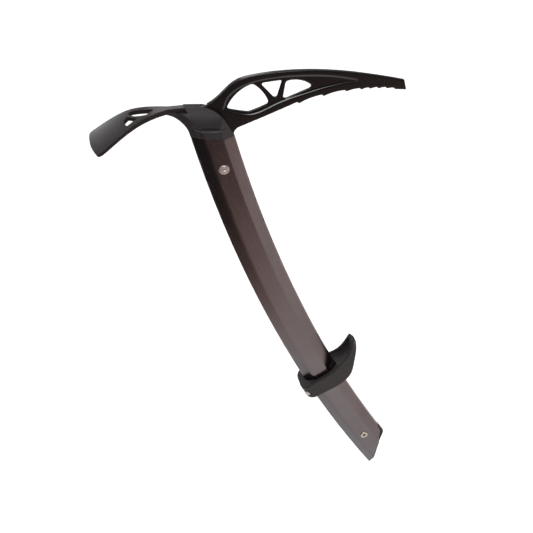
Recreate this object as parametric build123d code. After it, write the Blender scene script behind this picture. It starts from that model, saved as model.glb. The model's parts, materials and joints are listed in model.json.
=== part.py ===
from build123d import *
import os
from math import asin, cos, degrees, radians, sin, sqrt, tan

# Short mountaineering ice axe with a curved shaft, a forged head and a sliding finger trigger.
# All sizes are millimetres.  The origin is the centre of the carabiner hole in the pick, on the
# axe's middle plane.  +Z runs up the shaft's chord to the head, +X points the way the pick
# points, the adze points to -X, and Y is across the axe.

# ---- shaft: one tube bent to a single large arc, hollow, with six facets ----
SHAFT_RADIUS = 1570.0            # radius of the centreline
SHAFT_MID = (-56.0, -245.0)      # X and Z of the middle of the shaft's length
SHAFT_WIDTH = 36.5               # front to back
SHAFT_THICK = 21.0               # across, between the two flat faces
SHAFT_FLAT = 16.0                # width of each flat face
SHAFT_NOSE = 5.0                 # width of the front and back edges before rounding
SHAFT_WALL = 1.5
FACET_ROUND = 2.5                # rounding between flat and front facet
BACK_FACET_ROUND = 6.0           # rounding between flat and back facet
NOSE_ROUND = 4.0                 # rounding of the front and back edges
RIM_POINT = (-40.2, -15.8)       # the slanted top rim passes through here, X and Z
RIM_SLOPE = 29.5                 # degrees the rim falls towards the pick
TIP = (-56.6, -507.2)            # lower end of the slant
CUT_TOP = (-30.5, -465.8)        # where the slanted end meets the trimmed front corner
CORNER_MIDDLE = (-24.6, -458.6)
CORNER_TOP = (-24.7, -449.2)     # top of the trimmed front corner
BACK_STEP = (-56.6, -477.0)      # small relief at the back of the tip

# ---- head ----
PICK_THICK = 4.4
WEB_THICK = 2.2                  # pick's web inside its side pockets
TIP_THICK = 3.0                  # pick at its point
TANG_WIDTH = 26.0
TANG_BOTTOM = -74.0
TOOTH_DEPTH = 2.0
TOOTH_X = (114.0, 107.2, 100.3, 93.0, 80.5, 61.0, 39.2)
TEETH_START = (39.2, -25.1)      # first, middle and last point of the arc the teeth lie on
TEETH_MIDDLE = (80.5, -34.8)
TEETH_END = (129.4, -59.3)
ADZE_NECK = 6.0                  # width of the adze's neck
ADZE_EDGE = 1.0                  # blade at the cutting edge
ADZE_END = -134.5                # X of the middle of the cutting edge
ADZE_HALF_WIDTH = 22.0
RIVET_RADIUS = 2.0
RIVET_PLACES = ((-44.0, 8.0), (-36.5, -3.0))

# ---- fasteners ----
BOLT_Z = -47.5                   # height of the head bolt on the shaft
BOLT_HEAD_RADIUS = 4.2
BOLT_HEAD_THICK = 0.9
BOLT_SHANK_RADIUS = 2.5
NUT_BARREL_RADIUS = 3.3
WASHER_RADIUS = 4.7
WASHER_THICK = 0.4
HEX_ACROSS = 3.6
SOCKET_DEPTH = 1.6
PIN_Z = -65.0
PIN_RADIUS = 2.0
EYELET_Z = -445.2
EYELET_BORE = 1.9                # radius of the leash hole
EYELET_BARREL = 2.7              # outer radius of the tubular rivet
EYELET_FLANGE = 4.1
EYELET_FLANGE_THICK = 0.7

# ---- trigger: a ring with a hook for one finger, sliding on the shaft ----
TRIGGER_Z = -340.0
LINER_GAP = 0.3                  # clearance between shaft and liner
LINER_WALL = 1.2
LINER_LOW = -8.0                 # ends of the liner, from the middle of the ring
LINER_HIGH = 4.5
BORE_GAP = 0.45                  # clearance between shaft and ring above and below the liner
RING_BACK = 25.4                 # from the shaft's centreline to the back of the ring
RING_HALF_WIDTH = 15.6
HOOK_REACH = 49.0
BACK_FLOOR = 0.5                 # floor of the hollow behind the shaft
SCREW_FOOT = (-15.9, -4.33)      # where the clamp screw's axis meets the rear near facet
SCREW_OFFSET = -2.6              # clamp screw below the middle of the ring
SCREW_RADIUS = 2.0
SCREW_HEAD_RADIUS = 2.9
SCREW_HEAD_OUT = 11.2            # outer face of the screw head, measured from the facet
SCREW_HEAD_THICK = 2.2
INSERT_RADIUS = 3.4
PAD_GAP = 0.3
PAD_THICK = 1.6
PAD_RADIUS = 1.7

ARC_X = SHAFT_MID[0] + SHAFT_RADIUS
ARC_Z = SHAFT_MID[1]
ARC_AXIS = Axis((ARC_X, 0, ARC_Z), (0, 1, 0))


# ---- helpers ----
def side(sketch, thickness):
    """A slab of the given thickness, centred on the middle plane, from an outline in X and Z."""
    return extrude(Plane.XZ * sketch, amount=thickness / 2, both=True)


def outline(*corners):
    return Polygon(*corners, align=None)


def across_from(point):
    return point[0], -point[1]


def soften(sketch, places):
    """Round the corners of a sketch that lie nearest to the given (x, y, radius) places."""
    for x, y, radius in places:
        corner = min(sketch.vertices(), key=lambda v: (v.X - x) ** 2 + (v.Y - y) ** 2)
        sketch = fillet(corner, radius)
    return sketch


def across(x, z, radius, low, high):
    """A cylinder along Y between two values of Y."""
    disc = Plane((x, low, z), x_dir=(1, 0, 0), z_dir=(0, 1, 0)) * Circle(radius)
    return extrude(disc, high - low)


def shaft_angle(z):
    return degrees(asin((z - ARC_Z) / SHAFT_RADIUS))


def shaft_x(z):
    """X of the shaft's centreline at a height."""
    return ARC_X - sqrt(SHAFT_RADIUS**2 - (z - ARC_Z) ** 2)


def shaft_plane(z):
    """Plane square to the shaft: its X points to the pick side, its normal runs up the shaft."""
    turn = radians(shaft_angle(z))
    return Plane((shaft_x(z), 0, z), x_dir=(cos(turn), 0, -sin(turn)), z_dir=(sin(turn), 0, cos(turn)))


def along_shaft(section, low, high):
    """Sweep a section along the shaft's arc between two heights."""
    placed = shaft_plane(low) * section
    return revolve(placed, ARC_AXIS, shaft_angle(high) - shaft_angle(low))


def shaft_section(grow=0.0):
    """The shaft's six-sided section, grown or shrunk all round."""
    front = SHAFT_WIDTH / 2
    flat = SHAFT_FLAT / 2
    nose = SHAFT_NOSE / 2
    thick = SHAFT_THICK / 2
    quarter = [(flat, thick), (front, nose)]
    right = quarter + [(x, -y) for x, y in reversed(quarter)]
    left = [(-x, y) for x, y in reversed(right)]
    radius_at = {front: NOSE_ROUND, -front: NOSE_ROUND, flat: FACET_ROUND, -flat: BACK_FACET_ROUND}
    rounds = [(x, y, radius_at[x]) for x, y in right + left]
    section = soften(outline(*right, *left), rounds)
    return offset(section, grow) if grow else section


def rim_z(x):
    """Height of the slanted rim plane at X."""
    return RIM_POINT[1] - (x - RIM_POINT[0]) * tan(radians(RIM_SLOPE))


def below_rim():
    """Outline of what lies under the rim plane."""
    left, right, bottom = -90.0, 0.0, -120.0
    return outline((left, rim_z(left)), (right, rim_z(right)), (right, bottom), (left, bottom))


def arc_height(x, start, middle, end):
    """Z at X of the circle through three points given as (x, z)."""
    (x1, z1), (x2, z2), (x3, z3) = start, middle, end
    a = 2 * (x2 - x1)
    b = 2 * (z2 - z1)
    c = 2 * (x3 - x1)
    d = 2 * (z3 - z1)
    e = x2**2 + z2**2 - x1**2 - z1**2
    f = x3**2 + z3**2 - x1**2 - z1**2
    centre_x = (e * d - b * f) / (a * d - b * c)
    centre_z = (a * f - e * c) / (a * d - b * c)
    reach = sqrt((x1 - centre_x) ** 2 + (z1 - centre_z) ** 2)
    return centre_z + sqrt(reach**2 - (x - centre_x) ** 2)


# ---- shaft ----
def shaft_tube():
    ends = outline(
        (-90, rim_z(-90)), (-5, rim_z(-5)), (-5, CORNER_TOP[1]),
        CORNER_TOP, CORNER_MIDDLE, CUT_TOP, TIP, BACK_STEP, (-90, BACK_STEP[1]),
    )
    tube = along_shaft(shaft_section(), -510, 30) - along_shaft(shaft_section(-SHAFT_WALL), -511, 31)
    tube = tube & side(ends, 2 * SHAFT_THICK)
    tube -= across(shaft_x(BOLT_Z), BOLT_Z, NUT_BARREL_RADIUS, -20, 20)
    tube -= across(shaft_x(EYELET_Z), EYELET_Z, EYELET_BARREL, -20, 20)
    return tube


def end_plug():
    """Moulded plug that closes the slanted end and forms its front corner."""
    recess = 0.9
    nose_out = 0.4
    top, low = -424.0, -494.6
    gap = 0.42
    axis = shaft_plane((top + low) / 2)
    fall = (TIP[0] - CUT_TOP[0]) / (TIP[1] - CUT_TOP[1])
    face_top = (CUT_TOP[0] - recess, CUT_TOP[1] + recess / 2)
    face_low = (face_top[0] + fall * (low - face_top[1]), low)
    inner = outline((-90, top), (-5, top), (-5, CORNER_TOP[1]), CORNER_TOP, CORNER_MIDDLE, CUT_TOP,
                    face_top, face_low, (-90, low))
    core = extrude(axis * shaft_section(-SHAFT_WALL - gap), amount=50, both=True)
    core &= side(inner, 2 * SHAFT_THICK)
    corner = outline(CORNER_TOP, (-18, CORNER_TOP[1] - 2), (-18, -457.8), (-23.2, -463.0), CUT_TOP,
                     CORNER_MIDDLE)
    corner = soften(corner, [(-18, -457.8, 2.0), (-23.2, -463.0, 2.5)])
    nose = along_shaft(shaft_section(nose_out), -485, -435) & side(corner, 2 * SHAFT_THICK)
    relief = Pos(shaft_x(top), 0, top) * Box(18, 9, 20)
    return core + nose - relief - across(shaft_x(EYELET_Z), EYELET_Z, EYELET_BARREL, -20, 20)


def end_eyelet():
    """Tubular rivet through the shaft and the plug, flanged on the near side."""
    x = shaft_x(EYELET_Z)
    face = SHAFT_THICK / 2
    flange = across(x, EYELET_Z, EYELET_FLANGE, -face - EYELET_FLANGE_THICK, -face)
    barrel = across(x, EYELET_Z, EYELET_BARREL, -face, face + EYELET_FLANGE_THICK)
    rim = flange.edges().filter_by(GeomType.CIRCLE).sort_by(Axis.Y)[0]
    return fillet(rim, 0.5) + barrel - across(x, EYELET_Z, EYELET_BORE, -20, 20)


def end_eyelet_collar():
    """Flange pressed over the far end of the tubular rivet."""
    x = shaft_x(EYELET_Z)
    face = SHAFT_THICK / 2
    flange = across(x, EYELET_Z, EYELET_FLANGE, face, face + EYELET_FLANGE_THICK)
    rim = flange.edges().filter_by(GeomType.CIRCLE).sort_by(Axis.Y)[-1]
    return fillet(rim, 0.5) - across(x, EYELET_Z, EYELET_BARREL, -20, 20)


# ---- pick ----
def pick_outline():
    """Blade seen from the side, with a row of raked teeth under it."""
    crest = (-34.5, 12.4)
    point_top = (130.6, -49.6)
    point_low = TEETH_END
    top = Spline(crest, (-25.5, 12.8), (-16.8, 15.6), (-7.9, 19.0), (0.5, 20.4), (13.9, 18.0),
                 (45.9, 5.8), (95.1, -22.9), point_top)
    edges = [top, Line(point_top, point_low)]
    here = point_low
    flat_end = (120.4, -54.0)
    edges.append(Line(here, flat_end))
    here = flat_end
    for x in TOOTH_X:
        gullet = (here[0] - 0.9, here[1] + TOOTH_DEPTH)
        edges.append(Line(here, gullet))
        tooth = (x, arc_height(x, TEETH_START, TEETH_MIDDLE, TEETH_END))
        sag = 0.05 * (gullet[0] - tooth[0])
        middle = ((gullet[0] + tooth[0]) / 2, (gullet[1] + tooth[1]) / 2 + sag)
        edges.append(ThreePointArc(gullet, middle, tooth))
        here = tooth
    gullet = (here[0] - 0.9, here[1] + TOOTH_DEPTH)
    root = (-16.5, -20.4)
    shoulder = (-23.0, rim_z(-23.0))
    tail = (-47.5, rim_z(-47.5))
    heel = (-47.5, 16.6)
    edges.append(Line(here, gullet))
    edges.append(ThreePointArc(gullet, (10.0, -21.9), root))
    edges.append(ThreePointArc(root, (-20.6, -22.1), shoulder))
    edges.append(Line(shoulder, tail))
    edges.append(Line(tail, heel))
    edges.append(Line(heel, crest))
    return make_face(Wire(edges))


def carabiner_hole():
    left, top, right, low = (-18.4, 0.6), (10.3, 11.2), (16.0, -12.6), (-3.0, -11.4)
    shape = Wire([
        ThreePointArc(left, (-6.4, 8.9), top), ThreePointArc(top, (15.0, 0.5), right),
        ThreePointArc(right, (6.0, -12.3), low), ThreePointArc(low, (-11.0, -5.6), left),
    ])
    return soften(make_face(shape), [(*left, 2.4), (*top, 4.0), (*right, 2.6), (*low, 6.0)])


def small_window():
    start, end, low = (16.2, 8.6), (34.4, 2.2), (22.8, -12.4)
    return soften(outline(start, end, low), [(*start, 1.6), (*end, 1.6), (*low, 2.2)])


def long_window():
    low, top, end = (27.6, -15.2), (36.6, -0.4), (56.0, -16.6)
    shape = Wire([Line(low, top), ThreePointArc(top, (48.6, -5.8), end), Line(end, low)])
    return soften(make_face(shape), [(*low, 2.2), (*top, 3.0), (*end, 2.2)])


def pick_pocket():
    """Outline of the shallow pocket that leaves a web round the windows."""
    upper_left, left, lower_left, tail = (-19.0, 3.8), (-20.2, 2.0), (-19.2, 0.4), (94.5, -30.4)
    upper = Spline(upper_left, (-12.5, 10.2), (0.0, 13.6), (13.1, 12.4), (43.7, 1.4), (74.8, -15.4), tail)
    lower = Spline(tail, (72.1, -23.0), (45.0, -17.9), (20.0, -15.2), (-2.0, -13.6), (-14.1, -4.6),
                   lower_left)
    return make_face(Wire([upper, lower, ThreePointArc(lower_left, left, upper_left)]))


def pick():
    """Forged steel blade with the tang that goes down inside the shaft."""
    blade = side(pick_outline(), PICK_THICK)
    half = PICK_THICK / 2
    taper_start, taper_end = 15.0, 140.0
    plan = outline((-60, -half), (taper_start, -half), (taper_end, -TIP_THICK / 2),
                   (taper_end, TIP_THICK / 2), (taper_start, half), (-60, half))
    blade &= extrude(Plane.XY * plan, amount=90, both=True)
    pocket_depth = (PICK_THICK - WEB_THICK) / 2
    for face in (-1, 1):
        wall = Plane((0, face * (half - pocket_depth / 2), 0), x_dir=(1, 0, 0), z_dir=(0, -1, 0))
        blade -= extrude(wall * pick_pocket(), amount=pocket_depth / 2 + 0.01, both=True)
    for window in (carabiner_hole(), small_window(), long_window()):
        blade -= side(window, 2 * PICK_THICK)
    tang = along_shaft(Rectangle(TANG_WIDTH, PICK_THICK), TANG_BOTTOM, 8)
    blade += tang & side(below_rim(), 2 * PICK_THICK)
    lap = outline((-60, rim_z(-60) + 5.5), (-39.5, rim_z(-39.5) + 5.5),
                  (-31.5, -3), (-31.5, 22), (-60, 22))
    blade -= extrude(Plane.XZ * lap, PICK_THICK, dir=(0, 1, 0))
    for x, z in RIVET_PLACES:
        blade -= across(x, z, RIVET_RADIUS, -20, 20)
    blade -= across(shaft_x(BOLT_Z), BOLT_Z, NUT_BARREL_RADIUS, -20, 20)
    return blade - across(shaft_x(PIN_Z), PIN_Z, PIN_RADIUS, -20, 20)


# ---- adze ----
def adze_blade():
    """Neck and spade, with two unequal lightening windows and a bevelled edge."""
    half = ADZE_NECK / 2
    start = (-48.0, half)
    flare = [(-61.0, half), (-75.0, 7.7), (-95.0, 15.1), (-110.0, 19.0), (-125.0, 21.7)]
    near_flare = list(map(across_from, flare))
    far_corner = (ADZE_END + 0.9, ADZE_HALF_WIDTH)
    near_corner = (ADZE_END + 4.9, -ADZE_HALF_WIDTH)
    plan = make_face(Wire([
        Line(start, flare[0]), Spline(*flare, far_corner),
        ThreePointArc(far_corner, (ADZE_END, 2.0), near_corner),
        Spline(*near_flare, near_corner), Line(near_flare[0], across_from(start)),
        Line(across_from(start), start),
    ]))
    plan = soften(plan, [(*far_corner, 2.5), (*near_corner, 3.0)])
    top = Spline((-47.0, 18.6), (-60.0, 24.0), (-75.0, 29.2),
                 (-93.0, 31.9), (-112.0, 29.6), (-136.0, 24.6))
    under = Spline((-126.0, 23.8), (-110.0, 26.8), (-93.0, 28.1),
                   (-75.0, 24.8), (-60.0, 19.4), (-47.0, 14.0))
    band = make_face(Wire([
        top, Line((-136.0, 24.6), (-136.0, 24.6 - ADZE_EDGE)),
        Line((-136.0, 24.6 - ADZE_EDGE), (-126.0, 23.8)), under, Line((-47.0, 14.0), (-47.0, 18.6)),
    ]))
    blade = extrude(plan, 60) & side(band, 80)
    for window in adze_windows():
        blade -= extrude(window, 60)
    return blade


def adze_windows():
    """The two windows seen from above, one on each side of a slanting rib."""
    far = make_face(Wire([
        ThreePointArc((-73.0, 0.4), (-83.0, 5.0), (-93.0, 9.4)), Line((-93.0, 9.4), (-94.2, 6.4)),
        ThreePointArc((-94.2, 6.4), (-88.0, -1.8), (-79.6, -4.4)), Line((-79.6, -4.4), (-73.0, 0.4)),
    ]))
    near = outline((-88.4, -6.4), (-96.2, 2.8), (-99.4, 0.4), (-100.0, -4.6), (-97.6, -10.0))
    far = soften(far, [(-93.0, 9.4, 1.4), (-94.2, 6.4, 1.2), (-79.6, -4.4, 1.4), (-73.0, 0.4, 0.8)])
    near = soften(near, [(-88.4, -6.4, 1.0), (-96.2, 2.8, 1.4), (-99.4, 0.4, 1.4),
                         (-100.0, -4.6, 1.4), (-97.6, -10.0, 1.4)])
    return far, near


def adze():
    """Spade, neck and the tongue that laps the root of the pick."""
    lap_gap = 6.0
    tongue = outline(
        (-49.5, 18.6), (-47.5, 17.8), (-36.0, 12.2), (-32.0, 4.0), (-32.0, -2.6),
        (-39.2, rim_z(-39.2) + lap_gap), (-47.5, rim_z(-47.5) + lap_gap), (-49.5, 14.0),
    )
    piece = adze_blade() + extrude(Plane.XZ * tongue, PICK_THICK / 2, dir=(0, 1, 0))
    for x, z in RIVET_PLACES:
        piece -= across(x, z, RIVET_RADIUS, -20, 20)
    return piece


def head_rivets():
    """Two rivets that hold the adze's tongue to the pick."""
    head_radius = RIVET_RADIUS + 1.2
    head_thick = 1.0
    half = PICK_THICK / 2
    rivets = []
    for x, z in RIVET_PLACES:
        rivet = across(x, z, RIVET_RADIUS, -half, half)
        rivet += across(x, z, head_radius, -half - head_thick, -half)
        rivets.append(rivet + across(x, z, head_radius, half, half + head_thick))
    return Compound(rivets)


# ---- head cover ----
def cover_block():
    """Both halves of the cover as one block, before it is hollowed for the steel."""
    lower_back = (-56.4, rim_z(-56.4))
    lower_front = (-22.4, rim_z(-22.4))
    body_outline = make_face(Wire([
        Line(lower_back, lower_front), Line(lower_front, (-23.4, -10.0)),
        ThreePointArc((-23.4, -10.0), (-26.9, 2.6), (-35.8, 12.9)), Line((-35.8, 12.9), (-49.6, 20.2)),
        Line((-49.6, 20.2), (-49.8, 13.0)), Line((-49.8, 13.0), (-57.5, 9.0)),
        ThreePointArc((-57.5, 9.0), (-55.8, 2.4), lower_back),
    ]))
    rise = Plane((RIM_POINT[0], 0, RIM_POINT[1]), x_dir=(0, 1, 0),
                 z_dir=(cos(radians(RIM_SLOPE)), 0, -sin(radians(RIM_SLOPE))))
    half = SHAFT_THICK / 2
    swell = [(half, 7.0), (9.7, 13.0), (7.7, 19.0), (5.2, 23.5), (2.9, 28.0)]
    swell_back = [(-y, height) for y, height in reversed(swell)]
    across_outline = make_face(Wire([
        Line((half, -1.0), swell[0]), Spline(*swell), Line(swell[-1], swell_back[0]),
        Spline(*swell_back), Line(swell_back[-1], (-half, -1.0)), Line((-half, -1.0), (half, -1.0)),
    ]))
    thickness = extrude(rise * across_outline, amount=50, both=True)
    block = along_shaft(shaft_section(), -30, 30) & side(body_outline, 60) & thickness
    fin_outline = make_face(Wire([
        Line((-44.0, 12.6), (-60.0, 19.3)), Line((-60.0, 19.3), (-70.4, 23.2)),
        ThreePointArc((-70.4, 23.2), (-61.2, 16.0), (-57.5, 9.0)),
        ThreePointArc((-57.5, 9.0), (-55.8, 2.4), lower_back),
        Line(lower_back, (-44.0, rim_z(-44.0))), Line((-44.0, rim_z(-44.0)), (-44.0, 12.6)),
    ]))
    flare = outline((-72, 2.0), (-61, 2.9), (-56, 4.6), (-50.5, 8.2), (-44, 10.2),
                    (-44, -10.2), (-50.5, -8.2), (-56, -4.6), (-61, -2.9), (-72, -2.0))
    flare = soften(flare, [(-61, 2.9, 8), (-56, 4.6, 8), (-56, -4.6, 8), (-61, -2.9, 8)])
    fin = side(fin_outline, 60) & extrude(flare, amount=60, both=True) & thickness
    block = block + fin
    groove_top = 10.6                # height of the groove's straight edge above the rim
    hollow_radius, hollow_out = 47.9, 39.4
    under_pad = Plane(rise.origin, x_dir=(0, 1, 0), z_dir=rise.y_dir) * Pos(0, 0, groove_top - 30)
    for face in (-1, 1):
        hollow = Pos(-27.0, face * (half + hollow_out), 16.2) * Sphere(hollow_radius)
        block -= hollow & under_pad * Box(60, 200, 60)
    return block


def head_cover(face):
    """One moulded half of the cover; face is -1 for the right half and 1 for the left."""
    half_space = Pos(-45, face * 20, 0) * Box(120, 40, 120)
    shell = cover_block() & half_space
    shell -= side(pick_outline(), PICK_THICK)
    shell -= adze()
    for rivet in head_rivets().solids():
        shell -= rivet
    return max(shell.solids(), key=lambda piece: piece.volume)


# ---- fillers and fasteners ----
def tang_spacer(face):
    """Filler between the tang and one side of the tube."""
    spacer = along_shaft(shaft_section(-SHAFT_WALL), TANG_BOTTOM, 8) & side(below_rim(), 2 * SHAFT_THICK)
    gap = PICK_THICK / 2
    slab = Pos(-45, face * (gap + 20), -40) * Box(120, 40, 160)
    spacer &= slab
    spacer -= across(shaft_x(BOLT_Z), BOLT_Z, NUT_BARREL_RADIUS, -20, 20)
    return spacer - across(shaft_x(PIN_Z), PIN_Z, PIN_RADIUS, -20, 20)


def tang_pin():
    """Pin that joins the two fillers through the tang."""
    reach = SHAFT_THICK / 2 - SHAFT_WALL - 0.3
    return across(shaft_x(PIN_Z), PIN_Z, PIN_RADIUS, -reach, reach)


def bolt_end(face, radius, low, high):
    """A round head on one face of the shaft with its outer rim rounded."""
    x = shaft_x(BOLT_Z)
    near, far = sorted((face * low, face * high))
    head = across(x, BOLT_Z, radius, near, far)
    rims = head.edges().filter_by(GeomType.CIRCLE).sort_by(Axis.Y)
    return fillet(rims[0] if face < 0 else rims[-1], 0.5)


def head_bolt():
    """Low-headed socket screw that enters from the near side."""
    x = shaft_x(BOLT_Z)
    seat = SHAFT_THICK / 2 + WASHER_THICK
    top = seat + BOLT_HEAD_THICK
    bolt = bolt_end(-1, BOLT_HEAD_RADIUS, seat, top)
    bolt += across(x, BOLT_Z, BOLT_SHANK_RADIUS, -seat, 6)
    face = Plane((x, -top, BOLT_Z), x_dir=(1, 0, 0), z_dir=(0, 1, 0))
    return bolt - extrude(face * RegularPolygon(HEX_ACROSS / 2, 6, False), SOCKET_DEPTH)


def head_nut():
    """Barrel nut that enters from the far side."""
    x = shaft_x(BOLT_Z)
    seat = SHAFT_THICK / 2 + WASHER_THICK
    nut = bolt_end(1, BOLT_HEAD_RADIUS, seat, seat + BOLT_HEAD_THICK)
    nut += across(x, BOLT_Z, NUT_BARREL_RADIUS, -SHAFT_THICK / 2, seat)
    return nut - across(x, BOLT_Z, BOLT_SHANK_RADIUS, -20, 6)


def head_bolt_washers():
    """One washer under each head."""
    x = shaft_x(BOLT_Z)
    seat = SHAFT_THICK / 2
    rings = []
    for low in (-seat - WASHER_THICK, seat):
        ring = across(x, BOLT_Z, WASHER_RADIUS, low, low + WASHER_THICK)
        rings.append(ring - across(x, BOLT_Z, NUT_BARREL_RADIUS, -20, 20))
    return Compound(rings)


# ---- trigger ----
TRIGGER = shaft_plane(TRIGGER_Z)
FACET_TURN = degrees(asin((SHAFT_WIDTH - SHAFT_FLAT) / 2 / sqrt(
    ((SHAFT_WIDTH - SHAFT_FLAT) / 2) ** 2 + ((SHAFT_THICK - SHAFT_NOSE) / 2) ** 2)))


def trigger_side(sketch):
    """A wide slab from an outline in the trigger's own length and height."""
    wall = Plane(TRIGGER.origin, x_dir=TRIGGER.x_dir, z_dir=-TRIGGER.y_dir)
    return extrude(wall * sketch, amount=30, both=True)


def trigger_plan(inset=0.0):
    """The trigger from above: a rounded ring that narrows to the hook, drawn inset from its edge."""
    wide = RING_HALF_WIDTH - inset
    back = inset - RING_BACK
    reach = HOOK_REACH - inset
    flank = [(2.0, wide), (16.0, wide - 1.2), (30.0, wide - 4.6),
             (reach - 4.4, wide - 7.4), (reach - 0.6, 3.2)]
    plan = make_face(Wire([
        Line((back, -wide), (back, wide)), Line((back, wide), flank[0]), Spline(*flank),
        ThreePointArc(flank[-1], (reach, 0), across_from(flank[-1])),
        Spline(*map(across_from, reversed(flank))), Line(across_from(flank[0]), (back, -wide)),
    ]))
    corner_round = 10.0 - inset
    return soften(plan, [(back, wide, corner_round), (back, -wide, corner_round)])


def trigger_body():
    """Moulded ring and hook, dished on top for the finger."""
    under = Spline((-28.0, -10.8), (-12.0, -10.8), (10.0, -10.6), (26.0, -8.6),
                   (37.2, 5.2), (45.2, 17.2), (49.2, 23.6))
    rim = Spline((45.6, 29.0), (38.8, 21.2), (26.2, 13.6), (10.0, 10.2), (-8.0, 8.6), (-28.0, 6.2))
    tip = ThreePointArc((49.2, 23.6), (48.7, 27.9), (45.6, 29.0))
    profile = make_face(Wire([under, tip, rim, Line((-28.0, 6.2), (-28.0, -10.8))]))
    body = extrude(TRIGGER * Pos(0, 0, -20) * trigger_plan(), 70) & trigger_side(profile)
    rim_width = 2.4
    inside = extrude(TRIGGER * Pos(0, 0, -20) * trigger_plan(rim_width), 90)
    front_floor = make_face(Wire([
        Spline((6.0, 8.8), (16.0, 8.0), (27.0, 8.6), (36.6, 14.0), (44.4, 27.6)),
        Line((44.4, 27.6), (44.4, 60.0)), Line((44.4, 60.0), (6.0, 60.0)), Line((6.0, 60.0), (6.0, 8.8)),
    ]))
    front_plan = outline((8.5, -10.2), (22.0, -12.4), (60.0, -20.0),
                         (60.0, 20.0), (22.0, 12.4), (8.5, 10.2))
    back_plan = outline((-11.5, -9.0), (-16.5, -13.2), (-40.0, -13.2),
                        (-40.0, 13.2), (-16.5, 13.2), (-11.5, 9.0))
    body -= inside & trigger_side(front_floor) & extrude(TRIGGER * Pos(0, 0, -20) * front_plan, 90)
    body -= inside & extrude(TRIGGER * Pos(0, 0, BACK_FLOOR) * back_plan, 60)
    seat = shaft_section(LINER_GAP + LINER_WALL)
    body -= along_shaft(seat, TRIGGER_Z + LINER_LOW, TRIGGER_Z + LINER_HIGH)
    body -= along_shaft(shaft_section(BORE_GAP), TRIGGER_Z - 40, TRIGGER_Z + 60)
    body -= screw_axis_cylinder(INSERT_RADIUS, -2.0, 7.2)
    return body - screw_axis_cylinder(SCREW_HEAD_RADIUS + 0.25, 7.0, 30.0)


def screw_axis_cylinder(radius, low, high):
    """A cylinder on the clamp screw's axis between two distances out from the facet."""
    turn = radians(FACET_TURN)
    way = TRIGGER.x_dir * -cos(turn) + TRIGGER.y_dir * -sin(turn)
    foot = TRIGGER.from_local_coords(Vector(*SCREW_FOOT, SCREW_OFFSET))
    disc = Plane(foot + way * low, x_dir=TRIGGER.z_dir, z_dir=way) * Circle(radius)
    return extrude(disc, high - low)


def trigger_liner():
    """Slippery sleeve between the shaft and the ring."""
    low, high = TRIGGER_Z + LINER_LOW, TRIGGER_Z + LINER_HIGH
    outer = along_shaft(shaft_section(LINER_GAP + LINER_WALL), low, high)
    bore = along_shaft(shaft_section(LINER_GAP), low - 5, high + 5)
    return outer - bore - screw_axis_cylinder(PAD_RADIUS + 0.5, -5.0, 5.0)


def trigger_insert():
    """Threaded insert for the clamp screw."""
    thread_gap = 0.06
    insert = screw_axis_cylinder(INSERT_RADIUS, 2.4, 7.0)
    return insert - screw_axis_cylinder(SCREW_RADIUS + thread_gap, 0.0, 10.0)


def clamp_pad():
    """Soft button on the end of the clamp screw."""
    return screw_axis_cylinder(PAD_RADIUS, PAD_GAP, PAD_GAP + PAD_THICK)


def clamp_screw():
    head_low = SCREW_HEAD_OUT - SCREW_HEAD_THICK
    screw = screw_axis_cylinder(SCREW_RADIUS, PAD_GAP + PAD_THICK, head_low)
    screw += screw_axis_cylinder(SCREW_HEAD_RADIUS, head_low, SCREW_HEAD_OUT)
    face = screw.faces().sort_by(lambda f: (f.center() - screw.center()).length)[-1]
    socket = Plane(face) * RegularPolygon(1.25, 6, False)
    return screw - extrude(socket, -SOCKET_DEPTH)


PIECES = {
    "shaft_tube": shaft_tube,
    "end_plug": end_plug,
    "end_eyelet": end_eyelet,
    "end_eyelet_collar": end_eyelet_collar,
    "pick": pick,
    "adze": adze,
    "head_rivets": head_rivets,
    "head_cover_left": lambda: head_cover(1),
    "head_cover_right": lambda: head_cover(-1),
    "tang_spacer_left": lambda: tang_spacer(1),
    "tang_spacer_right": lambda: tang_spacer(-1),
    "tang_pin": tang_pin,
    "head_bolt": head_bolt,
    "head_nut": head_nut,
    "head_bolt_washers": head_bolt_washers,
    "trigger_body": trigger_body,
    "trigger_liner": trigger_liner,
    "trigger_insert": trigger_insert,
    "clamp_pad": clamp_pad,
    "clamp_screw": clamp_screw,
}

if __name__ == "__main__":
    os.makedirs("parts", exist_ok=True)
    for name, make in PIECES.items():
        export_step(make(), f"parts/{name}.step")
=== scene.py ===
import json
from math import copysign, cos, radians, sin, sqrt

import bmesh
import bpy
from mathutils import Matrix, Vector

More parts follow.
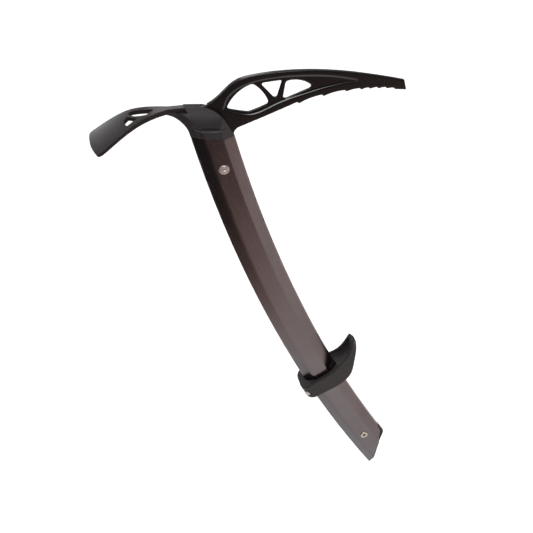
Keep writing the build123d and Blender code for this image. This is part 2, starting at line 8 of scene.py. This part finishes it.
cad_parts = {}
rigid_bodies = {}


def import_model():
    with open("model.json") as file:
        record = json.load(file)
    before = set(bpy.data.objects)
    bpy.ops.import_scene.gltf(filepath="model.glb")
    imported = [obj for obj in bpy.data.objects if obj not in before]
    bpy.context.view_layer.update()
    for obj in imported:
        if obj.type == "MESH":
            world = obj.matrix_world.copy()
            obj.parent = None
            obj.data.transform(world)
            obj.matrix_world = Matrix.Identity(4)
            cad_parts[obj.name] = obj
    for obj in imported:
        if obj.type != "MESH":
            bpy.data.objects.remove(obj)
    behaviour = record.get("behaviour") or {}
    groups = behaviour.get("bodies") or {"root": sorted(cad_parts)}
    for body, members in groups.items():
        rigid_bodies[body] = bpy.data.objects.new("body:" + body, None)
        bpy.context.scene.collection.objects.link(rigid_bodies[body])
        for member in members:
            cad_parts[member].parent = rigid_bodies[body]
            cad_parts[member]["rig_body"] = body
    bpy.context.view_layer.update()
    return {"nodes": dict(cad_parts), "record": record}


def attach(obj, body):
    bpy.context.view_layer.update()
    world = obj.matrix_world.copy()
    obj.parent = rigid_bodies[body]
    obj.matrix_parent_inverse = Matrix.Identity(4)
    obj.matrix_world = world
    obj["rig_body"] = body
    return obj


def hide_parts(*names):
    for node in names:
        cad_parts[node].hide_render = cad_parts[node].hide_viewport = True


# Ice axe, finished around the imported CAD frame.  Metres, in the row frame: +Z up the shaft,
# +X the way the pick points, Y across the axe.

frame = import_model()
NODES = frame["nodes"]
MM = 0.001
NOISE_LOW, NOISE_HIGH = 0.3, 0.7                # nearly all values of a noise lie between these


# ---- node helpers ----
def node(tree, kind, **inputs):
    """Adds a shader node and sets its plain inputs; names with _ stand for spaces."""
    made = tree.nodes.new(kind)
    for name, value in inputs.items():
        made.inputs[name.replace("_", " ")].default_value = value
    return made


def place(tree, scale=(1, 1, 1)):
    """The row frame's coordinates in millimetres, stretched."""
    coords = node(tree, "ShaderNodeTexCoord")
    mapping = node(tree, "ShaderNodeMapping", Scale=tuple(s * 1000 for s in scale))
    tree.links.new(coords.outputs["Object"], mapping.inputs["Vector"])
    return mapping.outputs["Vector"]


def noise(tree, vector, scale, detail=4.0, roughness=0.55):
    made = node(tree, "ShaderNodeTexNoise", Scale=scale, Detail=detail, Roughness=roughness)
    tree.links.new(vector, made.inputs["Vector"])
    return made.outputs["Fac"]


def remap(tree, value, low, high, to_low=0.0, to_high=1.0):
    made = node(tree, "ShaderNodeMapRange",
                From_Min=low, From_Max=high, To_Min=to_low, To_Max=to_high)
    tree.links.new(value, made.inputs["Value"])
    return made.outputs["Result"]


def spread(tree, value, to_low=0.0, to_high=1.0):
    """A noise's values, stretched to fill a span."""
    return remap(tree, value, NOISE_LOW, NOISE_HIGH, to_low, to_high)


def maths(tree, operation, a, b):
    made = tree.nodes.new("ShaderNodeMath")
    made.operation = operation
    for socket, value in zip(made.inputs, (a, b)):
        if isinstance(value, (int, float)):
            socket.default_value = value
        else:
            tree.links.new(value, socket)
    return made.outputs["Value"]


def mixed(tree, factor, a, b):
    """A colour between a and b; each is a colour or a socket."""
    made = tree.nodes.new("ShaderNodeMix")
    made.data_type = "RGBA"
    tree.links.new(factor, made.inputs["Factor"])
    for socket, value in ((made.inputs[6], a), (made.inputs[7], b)):
        if isinstance(value, tuple):
            socket.default_value = (*value, 1)
        else:
            tree.links.new(value, socket)
    return made.outputs[2]


def bump(tree, height, distance, strength=1.0, under=None):
    made = node(tree, "ShaderNodeBump", Strength=strength, Distance=distance)
    tree.links.new(height, made.inputs["Height"])
    if under is not None:
        tree.links.new(under, made.inputs["Normal"])
    return made.outputs["Normal"]


def material(name, **sockets):
    """A material with one Principled shader; sockets are its constants."""
    made = bpy.data.materials.new(name)
    made.use_nodes = True
    tree = made.node_tree
    shader = tree.nodes["Principled BSDF"]
    for socket, value in sockets.items():
        shader.inputs[socket.replace("_", " ")].default_value = value
    return made, tree, shader


def feed(tree, shader, **sockets):
    for socket, source in sockets.items():
        tree.links.new(source, shader.inputs[socket.replace("_", " ")])


# ---- materials ----
def shaft_anodised():
    """Anodised aluminium, faintly drawn along its length."""
    made, tree, shader = material("shaft_anodised", Metallic=1.0)
    at = place(tree)
    along = place(tree, (1.0, 1.0, 0.04))
    cloud = noise(tree, at, scale=0.03, detail=3.0)
    streak = noise(tree, along, scale=1.4, detail=5.0, roughness=0.6)
    grain = noise(tree, at, scale=3.2, detail=3.0, roughness=0.7)
    half_cloud = maths(tree, "MULTIPLY", cloud, 0.5)
    tone = maths(tree, "ADD", half_cloud, maths(tree, "MULTIPLY", streak, 0.5))
    colour = mixed(tree, spread(tree, tone), (0.158, 0.138, 0.142), (0.192, 0.169, 0.174))
    drawn = spread(tree, streak, 0.22, 0.27)
    rough = maths(tree, "ADD", drawn, spread(tree, grain, -0.02, 0.02))
    feed(tree, shader, Base_Color=colour, Roughness=rough,
         Normal=bump(tree, grain, distance=0.00002, strength=0.35))
    return made


def coated(name, dark, pale, rough, orange_peel, coat):
    """A dark coating on forged steel, with a faint orange peel."""
    made, tree, shader = material(name, Metallic=0.0, Coat_Weight=coat, Coat_Roughness=0.18)
    at = place(tree)
    cloud = noise(tree, at, scale=0.08, detail=4.0)
    peel = noise(tree, at, scale=1.1, detail=3.0, roughness=0.6)
    speck = noise(tree, at, scale=6.0, detail=2.0, roughness=0.7)
    colour = mixed(tree, spread(tree, cloud), dark, pale)
    peeled = bump(tree, peel, orange_peel)
    feed(tree, shader, Base_Color=colour,
         Roughness=spread(tree, speck, rough - 0.04, rough + 0.05),
         Normal=bump(tree, speck, distance=0.00001, strength=0.3, under=peeled))
    return made


def moulded(name, dark, pale, rough, texture_scale, texture_depth, sheen=0.0):
    """A moulded polymer with a spark-eroded texture."""
    made, tree, shader = material(name, Metallic=0.0, Sheen_Weight=sheen, Sheen_Roughness=0.4)
    at = place(tree)
    cloud = noise(tree, at, scale=0.06, detail=4.0)
    texture = noise(tree, at, scale=texture_scale, detail=3.0, roughness=0.65)
    patches = remap(tree, maths(tree, "MULTIPLY", cloud, texture), 0.15, 0.38)
    feed(tree, shader, Base_Color=mixed(tree, patches, dark, pale),
         Roughness=spread(tree, texture, rough + 0.06, rough - 0.06),
         Normal=bump(tree, texture, texture_depth))
    return made


def bright_metal(name, dark, pale, rough):
    """Turned and polished metal with fine tool marks."""
    made, tree, shader = material(name, Metallic=0.7)
    brushed = place(tree, (1.0, 1.0, 0.15))
    lines = noise(tree, brushed, scale=9.0, detail=3.0, roughness=0.6)
    spots = noise(tree, place(tree), scale=0.8, detail=4.0)
    colour = mixed(tree, remap(tree, spots, 0.35, 0.65), dark, pale)
    feed(tree, shader, Base_Color=colour,
         Roughness=spread(tree, lines, rough - 0.06, rough + 0.08),
         Normal=bump(tree, lines, distance=0.00001, strength=0.5))
    return made


COATED = {               # dark, pale, roughness, depth of the orange peel, clear coat
    "pick_black": ((0.0045, 0.003, 0.003), (0.007, 0.005, 0.0048), 0.28, 0.00001, 0.5),
    "adze_grey": ((0.022, 0.014, 0.015), (0.031, 0.022, 0.023), 0.34, 0.00002, 0.15),
}
MOULDED = {              # dark, pale, roughness, scale and depth of the texture, sheen
    "cover_polymer": ((0.032, 0.027, 0.029), (0.046, 0.039, 0.041), 0.50, 2.6, 0.00004, 0.0),
    "plug_black": ((0.010, 0.010, 0.011), (0.016, 0.016, 0.017), 0.42, 2.0, 0.00002, 0.0),
    "spacer_polymer": ((0.07, 0.07, 0.07), (0.10, 0.10, 0.10), 0.6, 2.0, 0.00004, 0.0),
    "trigger_rubber": ((0.034, 0.027, 0.028), (0.048, 0.039, 0.040), 0.46, 2.2, 0.00003, 0.1),
    "liner_polymer": ((0.014, 0.014, 0.014), (0.022, 0.022, 0.022), 0.35, 1.5, 0.00001, 0.0),
    "pad_nylon": ((0.75, 0.73, 0.67), (0.84, 0.82, 0.76), 0.5, 2.0, 0.00002, 0.0),
}
BRIGHT = {               # dark, pale, roughness
    "steel_bright": ((0.78, 0.70, 0.68), (0.92, 0.83, 0.81), 0.26),
    "eyelet_metal": ((0.70, 0.61, 0.52), (0.86, 0.78, 0.69), 0.3),
    "insert_brass": ((0.62, 0.44, 0.20), (0.75, 0.58, 0.30), 0.3),
}
FINISH = {"shaft_anodised": shaft_anodised()}
for kind, rows in ((coated, COATED), (moulded, MOULDED), (bright_metal, BRIGHT)):
    FINISH.update({slot: kind(slot, *row) for slot, row in rows.items()})
SLOT_OF = {row["node"]: row["material_slot"] for row in frame["record"]["subparts"]}


# ---- pieces ----
WELD = 1e-6                      # points nearer than this are one
FLAT_ANGLE = 0.01                # faces that turn by less are made one, in radians
SHARP_ANGLE = 40                 # edges that turn by more stay sharp, in degrees
BEVEL_ANGLE = 35                 # edges that turn by more are bevelled, in degrees
BEVEL_SEGMENTS = 3
SMOOTH_FACTOR = 0.5
ARCH_START, ARCH_LENGTH = -0.062, 0.040         # where the arch begins, and how it grows
ARCH_RATE = 2.2                  # fall per squared distance from the middle plane
WEB_HALF = 0.0011                # half the pick's thickness inside its pockets
WALL_TILT = 0.3                  # a wall's normal has less than this across the axe
MITRE_LIMIT = 0.5                # keeps the pockets' sharp corners from running out
POCKET_DRAFT = (0.35, 1.0)       # the slope of the pockets' upper and lower walls
SCOOP_TOP = (-0.0377, -0.0043)   # middle of the scoop's straight upper edge, x and z
SCOOP_SLOPE = radians(28.2)
SCOOP_SIZE = (0.0150, 0.0042, 0.0017)           # half length, height and depth
COVER_SIDE = 0.0080              # the cover's outer face lies further out than this


def shade(mesh, angle):
    for face in mesh.polygons:
        face.use_smooth = True
    mesh.set_sharp_from_angle(angle=radians(angle))


def copy_of(cad_node):
    """The welded surface of a CAD node, its flat faces made whole."""
    surface = bmesh.new()
    surface.from_mesh(NODES[cad_node].data)
    bmesh.ops.remove_doubles(surface, verts=surface.verts, dist=WELD)
    bmesh.ops.dissolve_limit(surface, angle_limit=FLAT_ANGLE,
                             verts=surface.verts, edges=surface.edges)
    return surface


def arch(mesh):
    """The adze's blade falls away to both sides, so it is hollow underneath."""
    for vertex in mesh.vertices:
        share = min(1.0, max(0.0, (ARCH_START - vertex.co.x) / ARCH_LENGTH))
        vertex.co.z -= share * ARCH_RATE * vertex.co.y**2


def scoop(mesh):
    """Deepens the finger scoop along the foot of a cover half."""
    half_length, height, depth = SCOOP_SIZE
    for vertex in mesh.vertices:
        x, z = vertex.co.x - SCOOP_TOP[0], vertex.co.z - SCOOP_TOP[1]
        along = x * cos(SCOOP_SLOPE) - z * sin(SCOOP_SLOPE)
        below = -x * sin(SCOOP_SLOPE) - z * cos(SCOOP_SLOPE)
        reach = height * sqrt(max(0.0, 1 - (along / half_length) ** 2))
        if abs(vertex.co.y) > COVER_SIDE and 0 < below < reach:
            inward = depth * below / height
            vertex.co.y -= copysign(inward, vertex.co.y)


def pocket_walls(surface):
    """Joined groups of the pick's wall faces that stay clear of its middle plane."""
    walls = {face.index: face for face in surface.faces if abs(face.normal.y) < WALL_TILT}
    while walls:
        group, front = [], [walls.pop(min(walls))]
        while front:
            face = front.pop()
            group.append(face)
            for edge in face.edges:
                beside = [other.index for other in edge.link_faces if other.index in walls]
                front += [walls.pop(index) for index in beside]
        depths = [abs(vertex.co.y) for face in group for vertex in face.verts]
        if min(depths) > 0.9 * WEB_HALF:
            yield group


def draft_pocket(surface):
    """Slopes the walls of the pick's side pockets, as forging leaves them."""
    surface.faces.index_update()
    lean = {}
    for group in pocket_walls(surface):
        for face in group:
            for vertex in face.verts:
                lean.setdefault(vertex, []).append(face.normal)
    upper, lower = POCKET_DRAFT
    moves = []
    for vertex, normals in lean.items():
        way = sum(normals, Vector())
        way.y = 0
        way.normalize()
        mitre = 1 / max(MITRE_LIMIT, way.dot(normals[0]))
        facing_up = min(1.0, max(0.0, way.z + 0.5))
        slope = upper + (lower - upper) * facing_up
        rise = abs(vertex.co.y) - WEB_HALF
        moves.append((vertex, way * mitre * rise * slope))
    for vertex, move in moves:
        vertex.co -= move


def stand_in(cad_node, surface, angle=SHARP_ANGLE):
    """A new piece in a CAD node's place, on its body and with its finish."""
    mesh = bpy.data.meshes.new(cad_node + "_finished")
    surface.to_mesh(mesh)
    surface.free()
    piece = bpy.data.objects.new(cad_node + "_finished", mesh)
    bpy.context.scene.collection.objects.link(piece)
    mesh.materials.append(FINISH[SLOT_OF[cad_node]])
    shade(mesh, angle)
    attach(piece, NODES[cad_node]["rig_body"])
    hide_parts(cad_node)
    return piece


def bevelled(cad_node, width):
    """A cut piece: its edges are broken by a small bevel."""
    piece = stand_in(cad_node, copy_of(cad_node), BEVEL_ANGLE)
    edge = piece.modifiers.new("edges", "BEVEL")
    edge.width, edge.segments = width * MM, BEVEL_SEGMENTS
    edge.limit_method, edge.angle_limit = "ANGLE", radians(BEVEL_ANGLE)
    normals = piece.modifiers.new("normals", "WEIGHTED_NORMAL")
    normals.keep_sharp = False


def softened(cad_node, voxel, rounds, swell=0.0):
    """A moulded or forged piece: remeshed finely, so that every edge comes out rounded."""
    surface = copy_of(cad_node)
    if cad_node == "pick":
        draft_pocket(surface)
    piece = stand_in(cad_node, surface)
    remesh = piece.modifiers.new("remesh", "REMESH")
    remesh.mode, remesh.voxel_size, remesh.use_smooth_shade = "VOXEL", voxel * MM, True
    soft = piece.modifiers.new("soft", "SMOOTH")
    soft.factor, soft.iterations = SMOOTH_FACTOR, rounds
    if swell:
        grown = piece.modifiers.new("grown", "DISPLACE")
        grown.strength, grown.mid_level = swell * MM, 0.0
    return piece


def settled(piece):
    """Turns a piece's modifiers into plain mesh."""
    depsgraph = bpy.context.evaluated_depsgraph_get()
    mesh = bpy.data.meshes.new_from_object(piece.evaluated_get(depsgraph))
    piece.modifiers.clear()
    piece.data = mesh
    return mesh


bevelled("shaft_tube", width=0.4)
bevelled("end_plug", width=0.3)
softened("trigger_body", voxel=0.4, rounds=10)
for cover in ("head_cover_left", "head_cover_right"):
    scoop(settled(softened(cover, voxel=0.3, rounds=6)))
softened("pick", voxel=0.35, rounds=10, swell=0.05)
arch(settled(softened("adze", voxel=0.3, rounds=4)))
for name, part in NODES.items():
    part.data.materials[0] = FINISH[SLOT_OF[name]]


# ---- stage ----
FLOOR_Z = -0.75
FLOOR_HALF = 12.0
BACKDROP_RADIUS, BACKDROP_HEIGHT, BACKDROP_SIDES = 11.0, 14.0, 96
SKY_DARK = 0.04
SKY_GLOWS = (            # axis, where the glow starts and ends along it, and its gain
    ("X", 0.35, 0.85, 0.10),
    ("Y", 0.30, 0.95, 0.20),
    ("Z", 0.2, 0.9, 0.16),
)
SKY_DOWN = ((-0.50, 2.0), (-0.51, 2.9), (-0.515, 3.2))      # start and curve for red, green, blue
SKY_DOWN_END = -0.70
SKY_DOWN_GAIN = 1.6
SKY_FLOOR_START, SKY_FLOOR_END, SKY_FLOOR_LOSS = -0.70, -0.745, 0.70
SKY_LEFT = (-0.8, -0.2, 0.60, 1.0)              # a span along X and the share of light over it
SKY_RIGHT = (0.3, 0.8, 1.0, 0.82)
LIGHTS = {               # place, what it points at, width and height in metres, watts
    "front_top": ((0.45, -0.95, 1.15), (0.0, 0.0, -0.05), (1.3, 0.6), 16),
    "back_low": ((-0.5, 1.6, 0.25), (-0.05, 0.0, 0.0), (1.4, 0.25), 3.2),
    "back_high": ((0.32, 1.3, 0.62), (-0.06, 0.0, 0.03), (0.35, 0.35), 0.8),
}
CAMERA_PLACE = (0.0129, -0.7378, 0.4255)
CAMERA_AZIMUTH, CAMERA_ELEVATION, CAMERA_ROLL = radians(5.0), radians(39.0), radians(-28.12)
CAMERA_SENSOR, CAMERA_LENS = 36.0, 67.2         # millimetres


def paper_material():
    made, tree, shader = material("floor_paper", Roughness=0.9,
                                  Emission_Color=(1, 1, 1, 1), Emission_Strength=0.8)
    cloud = noise(tree, place(tree), scale=0.004, detail=3.0)
    colour = mixed(tree, cloud, (0.90, 0.90, 0.90), (0.93, 0.93, 0.93))
    feed(tree, shader, Base_Color=colour)
    return made


def paper(name, surface, stops_light):
    """A sheet of pale paper that shows in the camera and in nothing else."""
    mesh = bpy.data.meshes.new(name)
    surface.to_mesh(mesh)
    surface.free()
    mesh.materials.append(PAPER)
    sheet = bpy.data.objects.new(name, mesh)
    sheet.location = (0, 0, FLOOR_Z)
    sheet.visible_glossy = False
    sheet.visible_diffuse = False
    sheet.visible_shadow = stops_light
    bpy.context.scene.collection.objects.link(sheet)


def floor():
    surface = bmesh.new()
    bmesh.ops.create_grid(surface, x_segments=2, y_segments=2, size=FLOOR_HALF)
    paper("floor", surface, stops_light=True)


def backdrop():
    """A tall ring of paper that closes the horizon and lets the sky's light through."""
    surface = bmesh.new()
    bmesh.ops.create_circle(surface, segments=BACKDROP_SIDES, radius=BACKDROP_RADIUS)
    raised = bmesh.ops.extrude_edge_only(surface, edges=surface.edges[:])
    for item in raised["geom"]:
        if isinstance(item, bmesh.types.BMVert):
            item.co.z = BACKDROP_HEIGHT
    paper("backdrop", surface, stops_light=False)


def light(name, at, towards, size, power):
    data = bpy.data.lights.new(name, "AREA")
    data.shape, data.size, data.size_y = "RECTANGLE", size[0], size[1]
    data.energy = power
    lamp = bpy.data.objects.new(name, data)
    lamp.location = at
    lamp.rotation_euler = (Vector(towards) - Vector(at)).to_track_quat("-Z", "Y").to_euler()
    lamp.visible_camera = False
    bpy.context.scene.collection.objects.link(lamp)


def sky():
    """Soft light by direction, dark in front of the axe and paler and warmer below it."""
    world = bpy.data.worlds.new("studio")
    world.use_nodes = True
    tree = world.node_tree
    coords = node(tree, "ShaderNodeTexCoord")
    split = tree.nodes.new("ShaderNodeSeparateXYZ")
    tree.links.new(coords.outputs["Generated"], split.inputs[0])
    across, height = split.outputs["X"], split.outputs["Z"]
    shared = SKY_DARK
    for axis, start, end, gain in SKY_GLOWS:
        glow = remap(tree, split.outputs[axis], start, end, 0.0, gain)
        shared = maths(tree, "ADD", glow, shared)
    left, right = remap(tree, across, *SKY_LEFT), remap(tree, across, *SKY_RIGHT)
    side_share = maths(tree, "MULTIPLY", left, right)
    loss = remap(tree, height, SKY_FLOOR_START, SKY_FLOOR_END, 0.0, SKY_FLOOR_LOSS)
    colour = tree.nodes.new("ShaderNodeCombineColor")
    for socket, (start, curve) in zip(colour.inputs, SKY_DOWN):
        rising = maths(tree, "POWER", remap(tree, height, start, SKY_DOWN_END), curve)
        below = maths(tree, "SUBTRACT", maths(tree, "MULTIPLY", rising, SKY_DOWN_GAIN), loss)
        from_below = maths(tree, "MULTIPLY", below, side_share)
        tree.links.new(maths(tree, "ADD", from_below, shared), socket)
    background = tree.nodes["Background"]
    tree.links.new(colour.outputs[0], background.inputs["Color"])
    background.inputs["Strength"].default_value = 1.0
    bpy.context.scene.world = world


def camera():
    right = Vector((cos(CAMERA_AZIMUTH), sin(CAMERA_AZIMUTH), 0))
    away = Vector((sin(CAMERA_AZIMUTH), -cos(CAMERA_AZIMUTH), 0))
    back = away * cos(CAMERA_ELEVATION) + Vector((0, 0, sin(CAMERA_ELEVATION)))
    up = back.cross(right)
    across = right * cos(CAMERA_ROLL) + up * sin(CAMERA_ROLL)
    upward = up * cos(CAMERA_ROLL) - right * sin(CAMERA_ROLL)
    data = bpy.data.cameras.new("camera")
    data.sensor_width, data.lens = CAMERA_SENSOR, CAMERA_LENS
    data.clip_start, data.clip_end = 0.01, 50.0
    view = bpy.data.objects.new("camera", data)
    turn = Matrix((across, upward, back)).transposed()
    view.matrix_world = Matrix.Translation(CAMERA_PLACE) @ turn.to_4x4()
    bpy.context.scene.collection.objects.link(view)
    bpy.context.scene.camera = view


PAPER = paper_material()
floor()
backdrop()
sky()
for lamp_name, row in LIGHTS.items():
    light(lamp_name, *row)
bpy.context.scene.view_settings.view_transform = "Standard"
camera()
